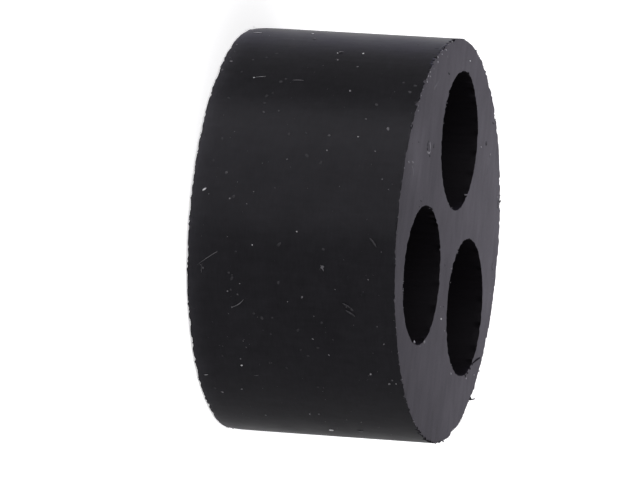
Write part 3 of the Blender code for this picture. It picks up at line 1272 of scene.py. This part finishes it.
# %% Painted shade bits
HOLLOW_SHADE_BITS = [
    # x and y on the upper end, length along X and width along Y in mm
    (-6.11, 3.72, 0.34, 0.22), (-6.05, 3.52, 0.28, 0.16), (-5.92, 3.90, 0.22, 0.12),
    (-5.44, 3.28, 0.40, 0.14), (-4.87, 3.90, 0.30, 0.26), (-3.48, 7.87, 0.40, 0.16),
    (5.30, 6.08, 0.36, 0.24), (0.31, -3.30, 0.30, 0.07), (-0.26, -1.30, 0.16, 0.10),
    (-7.80, 3.51, 0.20, 0.08), (-6.17, 0.86, 0.40, 0.06), (6.32, 7.36, 0.50, 0.13),
    (9.20, 3.80, 0.20, 0.08), (-8.9, 3.2, 0.12, 0.05), (6.33, -5.74, 0.24, 0.08),
    (6.12, -5.93, 0.24, 0.07),
]
DEEP_SHADE_BITS = [
    # the same, where nearly no light reaches
    (7.24, -5.04, 0.40, 0.14), (6.86, -5.33, 0.40, 0.14), (6.45, -5.63, 0.40, 0.13),
    (6.05, -5.85, 0.36, 0.12), (0.32, 8.71, 0.40, 0.09), (-6.06, 3.50, 0.20, 0.12),
    (-5.44, 3.28, 0.26, 0.09), (-3.48, 7.87, 0.26, 0.10), (-6.40, 0.52, 0.20, 0.04),
    (-4.02, 0.89, 0.50, 0.09), (-0.05, 1.72, 0.45, 0.07),
]
# Painted shadow in the tears along the upper outside rim.
RIM_SHADOW_BITS = [
    # degrees round the upper outside rim, length along it and width across it in mm
    (108.3, 0.34, 0.16), (110.0, 0.16, 0.12), (118.9, 0.22, 0.09), (120.4, 0.14, 0.10),
    (257.0, 0.22, 0.10), (259.5, 0.16, 0.10), (261.4, 0.30, 0.12), (264.2, 0.16, 0.10),
    (267.2, 0.34, 0.14), (270.3, 0.16, 0.10), (273.2, 0.26, 0.12), (283.0, 0.18, 0.10),
    (276.0, 0.16, 0.10), (22.4, 0.14, 0.10), (318.3, 0.26, 0.14), (252.0, 0.14, 0.08),
    (140.9, 0.12, 0.08), (146.8, 0.14, 0.08), (131.0, 0.12, 0.05), (246.0, 0.12, 0.07),
    (235.0, 0.10, 0.07), (156.9, 0.30, 0.08), (126.9, 0.18, 0.06),
]


def round_the_rim(degrees):
    """Places just inside the upper outside rim, whose first direction runs along it."""
    turn = np.radians(degrees)
    cos, sin = np.cos(turn), np.sin(turn)
    point, _, _, up = on_rim(turn, UPPER, OUTER_RADIUS - ON_THE_ROUND)
    return point, vectors(-sin, cos, 0), vectors(cos, sin, 0), up


rim_degrees, rim_length, rim_width = np.transpose(RIM_SHADOW_BITS)
rim_places = round_the_rim(rim_degrees)
rim_shadow_bits = lumps(rim_places, rim_width, flatness=0.5, seed=362, lengths=rim_length)
deep_shade_bits = np.concatenate([end_lumps(DEEP_SHADE_BITS, flatness=0.15, seed=363), rim_shadow_bits])
hollow_shade_bits = end_lumps(HOLLOW_SHADE_BITS, flatness=0.10, seed=361)
small_piece("hollow_shade_bits", hollow_shade_bits, LUMP_FACES, hollow_shade_finish)
# Bits in the bores' dark finish: painted shade and painted shadow.
small_piece("deep_shade_bits", deep_shade_bits, LUMP_FACES, bore_shade_finish)

# %% [markdown]
# ## Dust
# Rubber is soft and holds a charge, so dust clings to it. Most specks are far smaller than a
# grain of salt and hardly paler than the skin. A few are bright: these have places of their
# own, as an angle round the wall and a height.

# %% Tables of dust
BRIGHT_SPECKS = [
    # degrees round the wall, height and width in mm
    (142.5, 1.96, 0.076), (231.6, 2.47, 0.1), (264, 5.95, 0.17), (189.8, 5.6, 0.062),
    (194.3, 3.36, 0.058), (234.7, 10.34, 0.05), (127.9, 5.6, 0.075), (127.3, 6.9, 0.105),
    (112, 3.51, 0.082), (161.4, 8.07, 0.05), (109.4, 0.45, 0.07),
]
FAINT_SPECKS = [
    # the same, for specks that show less
    (169.6, 4.68, 0.058), (166.2, 6.63, 0.06), (201.9, 9.32, 0.062), (205.3, 7.63, 0.05),
    (174.5, 1.71, 0.13), (155.2, 3, 0.13), (131.8, 5.8, 0.097), (134.8, 6.96, 0.09),
    (155.5, 8.27, 0.066), (173.7, 9.66, 0.068), (225.7, 7.1, 0.075), (220.8, 10, 0.08),
    (180.9, 0.95, 0.07), (181.8, 2.03, 0.085), (201.6, 0.85, 0.11), (154.5, 3.75, 0.105),
    (145.6, 7.06, 0.1), (158.4, 9.51, 0.14), (161.6, 6.59, 0.125), (165.6, 9.08, 0.046),
    (118, 3.87, 0.17), (208.1, 5.93, 0.105), (207.8, 2.11, 0.08), (212.5, 2.3, 0.075),
    (200.7, 0.72, 0.07), (205.4, 2.74, 0.06), (208.6, 2.62, 0.08), (220.7, 6.36, 0.07),
    (215.5, 9.72, 0.06), (229.2, 2.47, 0.078), (231.6, 9.11, 0.1), (234.9, 9.98, 0.12),
    (243.5, 1.11, 0.11), (241.5, 2.18, 0.07), (255.1, 2.92, 0.095), (263, 7.52, 0.21),
    (252.3, 5.32, 0.082), (251.9, 5.81, 0.072), (199.2, 6.97, 0.15), (183, 2.93, 0.05),
    (135.7, 0.45, 0.12), (139.9, 0.19, 0.13), (130.6, 0.38, 0.09), (134, 0.3, 0.07),
    (126, 0.25, 0.07), (122, 0.3, 0.08), (144.8, 0.15, 0.05), (203, 2.35, 0.03), (215, 3.6, 0.045),
    (233.4, 10.17, 0.1), (126.9, 5.78, 0.115),
]
SOFT_SPECKS = [
    # the same, for smudges of dust
    (151, 1.02, 0.15), (241.9, 0.78, 0.12), (132.9, 2.16, 0.14), (130.3, 2.56, 0.15),
    (134.3, 1.51, 0.13), (149.5, 2.92, 0.16), (148.2, 3.18, 0.09), (152, 2.93, 0.13),
    (161.9, 4.54, 0.15), (164.6, 1.19, 0.145), (140.3, 1.22, 0.11), (143.6, 3.4, 0.18),
    (142.3, 3.6, 0.12), (144.7, 10.08, 0.18), (142, 10.25, 0.15), (231.4, 4.8, 0.1),
    (228.6, 1.55, 0.11), (120.5, 10.35, 0.14), (124, 10.5, 0.1), (230, 3.96, 0.11),
    (175, 10.2, 0.06), (141, 9.6, 0.12), (118, 9.3, 0.13), (193.6, 4.72, 0.17),
    (196.4, 2.52, 0.095), (194.2, 7, 0.16), (202.5, 2.18, 0.11), (204, 2.33, 0.145),
    (204.4, 4.73, 0.125), (214, 3.41, 0.14), (215.2, 3.81, 0.17), (214.9, 4.35, 0.11),
    (218.2, 5.63, 0.16), (215.4, 6.87, 0.13), (220, 4.21, 0.095), (181.2, 2.22, 0.16),
    (171.2, 0.95, 0.11), (168.2, 5.67, 0.15), (161.3, 5.39, 0.125), (169.9, 6.43, 0.145),
    (238.2, 6.22, 0.13), (223.5, 6.57, 0.13), (226.5, 6, 0.12), (224.6, 5.68, 0.095),
    (150.2, 8.61, 0.15), (207.4, 2.27, 0.11), (210.8, 8.46, 0.13),
]
BORE_FLUFF = [
    # degrees round a bore, height and width in mm
    (311.0, 10.45, 0.07), (309.0, 10.38, 0.05), (313.0, 10.52, 0.05),
]
END_SPECKS = [
    # x and y on the upper end, length along X and width along Y in mm
    (0.34, 9.35, 0.26, 0.08), (0.08, -3.96, 0.28, 0.11),
]
print("specks:", len(BRIGHT_SPECKS), "bright,", len(FAINT_SPECKS), "faint,", len(SOFT_SPECKS), "soft")

# %% Dust specks
OFF_THE_RIM = 0.15


def speck_places(rows):
    """Places and widths of the specks in a table."""
    degrees, up, width = np.transpose(rows)
    return on_wall(round_mm(degrees), up), width


def scattered_specks(seed, on_the_wall, on_each_end):
    """Specks at random on the wall and on both ends, most of them too small to see from afar.

    A width is a least width plus a range times the fourth power of a random share. The square
    root of a random share, times the radius, spreads specks evenly over an end.
    """
    random = np.random.default_rng(seed)
    around = random.uniform(0, round_mm(360), on_the_wall)
    sets = [on_wall(around, random.uniform(0.1, LENGTH - 0.1, on_the_wall))]
    for end in (UPPER, LOWER):
        turn = random.uniform(0, 2 * math.pi, on_each_end)
        radius = OUTER_RADIUS * np.sqrt(random.random(on_each_end))
        x, y = radius * np.cos(turn), radius * np.sin(turn)
        away_x = x[:, None] - PITCH_RADIUS * np.cos(bore_turns)
        away_y = y[:, None] - PITCH_RADIUS * np.sin(bore_turns)
        off_the_bores = np.hypot(away_x, away_y).min(-1) > BORE_RADIUS + OFF_THE_RIM
        kept = off_the_bores & (radius < OUTER_RADIUS - OFF_THE_RIM)
        sets.append(on_end(x[kept], y[kept], end))
    places = joined(*sets)
    return places, 0.018 + 0.028 * random.random(len(places[0])) ** 4


def unseen_specks(seed, count):
    """Larger specks for the side of the wall that the picture doesn't show, few of them wide."""
    random = np.random.default_rng(seed)
    around = round_mm(random.uniform(-75, 90, count))
    places = on_wall(around, random.uniform(0.3, LENGTH - 0.3, count))
    return places, 0.035 + 0.09 * random.random(count) ** 3


def bore_fluff():
    """Three specks at the mouth of the second bore."""
    degrees, up, width = np.transpose(BORE_FLUFF)
    return on_bore(1, degrees, up), width


faint_sets = [speck_places(FAINT_SPECKS), scattered_specks(401, on_the_wall=380, on_each_end=90)]
faint_sets += [bore_fluff(), unseen_specks(441, 60)]
faint_places, faint_widths = zip(*faint_sets)
faint_specks = lumps(joined(*faint_places), np.concatenate(faint_widths), flatness=0.35, seed=403)
bright_specks = lumps(*speck_places(BRIGHT_SPECKS), flatness=0.5, seed=402)
bright_specks = np.concatenate([bright_specks, end_lumps(END_SPECKS, flatness=0.5, seed=404)])
soft_specks = lumps(*speck_places(SOFT_SPECKS), flatness=0.12, seed=405)
small_piece("bright_specks", bright_specks, LUMP_FACES, lint_finish)
small_piece("faint_specks", faint_specks, LUMP_FACES, faint_finish)
small_piece("soft_specks", soft_specks, LUMP_FACES, smudge_finish)

# %% [markdown]
# ## Lint
# A few fibres lie on the wall. A fibre is a tube about as thin as a hair, which bows along
# the surface and lifts off it a little.

# %% Tables of fibres
BRIGHT_FIBRES = [
    # degrees and height at each end, bow along the wall, rise and thickness, in mm
    (180.1, 0.62, 179.3, 0.79, 0.0, 0.01, 0.09),
    (142.5, 1.98, 141.8, 2.54, 0.01, 0.02, 0.011),
    (236.3, 0.39, 236.1, 0.60, 0.0, 0.01, 0.027),
    (115.4, 0.55, 114.6, 0.96, 0.0, 0.005, 0.022),
]
FAINT_FIBRES = [
    # the same, for fibres that show less
    (212.4, 2.29, 209.9, 2.93, -0.06, 0.03, 0.05),
    (142.7, 3.97, 142.5, 4.53, 0.0, 0.02, 0.022),
    (200.8, 0.57, 196.7, 1.59, 0.02, 0.03, 0.035),
    (202.9, 0.79, 200.2, 0.83, 0.03, 0.03, 0.03),
    (198.7, 6.90, 200.3, 7.05, 0.02, 0.02, 0.055),
    (127.7, 5.66, 127.2, 5.79, 0.0, 0.01, 0.06),
    (235.2, 3.0, 235.0, 3.25, 0.0, 0.01, 0.02),
]
SOFT_FIBRES = [
    # the same, for fibres that show least
    (211.1, 8.16, 212.7, 8.62, 0.02, 0.01, 0.10),
    (209.1, 8.01, 210.4, 8.41, 0.02, 0.01, 0.09),
    (190.4, 9.34, 192.8, 9.70, 0.03, 0.01, 0.10),
]
UNSEEN_FIBRES = [
    # the least and the most of each column, for random fibres whose second end counts from the first
    (-80, 95), (0.6, LENGTH - 0.9), (-4, 4), (-0.5, 0.5), (-0.1, 0.1), (0.02, 0.06), (0.025, 0.04),
]
print("fibres:", len(BRIGHT_FIBRES), "bright,", len(FAINT_FIBRES), "faint,", len(SOFT_FIBRES), "soft")

# %% Lint fibres
def fibres(rows):
    """Tubes that run straight between their ends on the unrolled wall, plus a bow and a rise.

    The bow and the rise go with 4 * share * (1 - share): nothing at the ends, full in the middle.
    """
    first_degrees, first_up, last_degrees, last_up, bow, rise, thickness = np.transpose(rows)[..., None]
    share = np.linspace(0, 1, TUBE_STEPS)
    arch = 4 * share * (1 - share)
    across, up = round_mm(last_degrees - first_degrees), last_up - first_up
    length = np.hypot(across, up)
    around = round_mm(first_degrees) + across * share - bow * arch * up / length
    height = first_up + up * share + bow * arch * across / length
    point, _, _, outwards = on_wall(around, height)
    middles = point + (thickness / 2 + rise * arch)[..., None] * outwards
    return tubes(middles, outwards, pointed(thickness[:, 0]))


def unseen_fibres(seed, count):
    """Rows of random short fibres for the side that the picture doesn't show."""
    random = np.random.default_rng(seed)
    columns = np.array([random.uniform(least, most, count) for least, most in UNSEEN_FIBRES])
    columns[2:4] += columns[:2]
    return columns.T.tolist()


faint_fibres = fibres(FAINT_FIBRES + unseen_fibres(seed=421, count=9))
small_piece("bright_fibres", fibres(BRIGHT_FIBRES), TUBE_FACES, lint_finish)
small_piece("faint_fibres", faint_fibres, TUBE_FACES, faint_finish)
small_piece("soft_fibres", fibres(SOFT_FIBRES), TUBE_FACES, smudge_finish)

# %% [markdown]
# ## Finish
# The view settings keep colours as they are written.

# %% Finish
bpy.context.scene.view_settings.view_transform = "Standard"
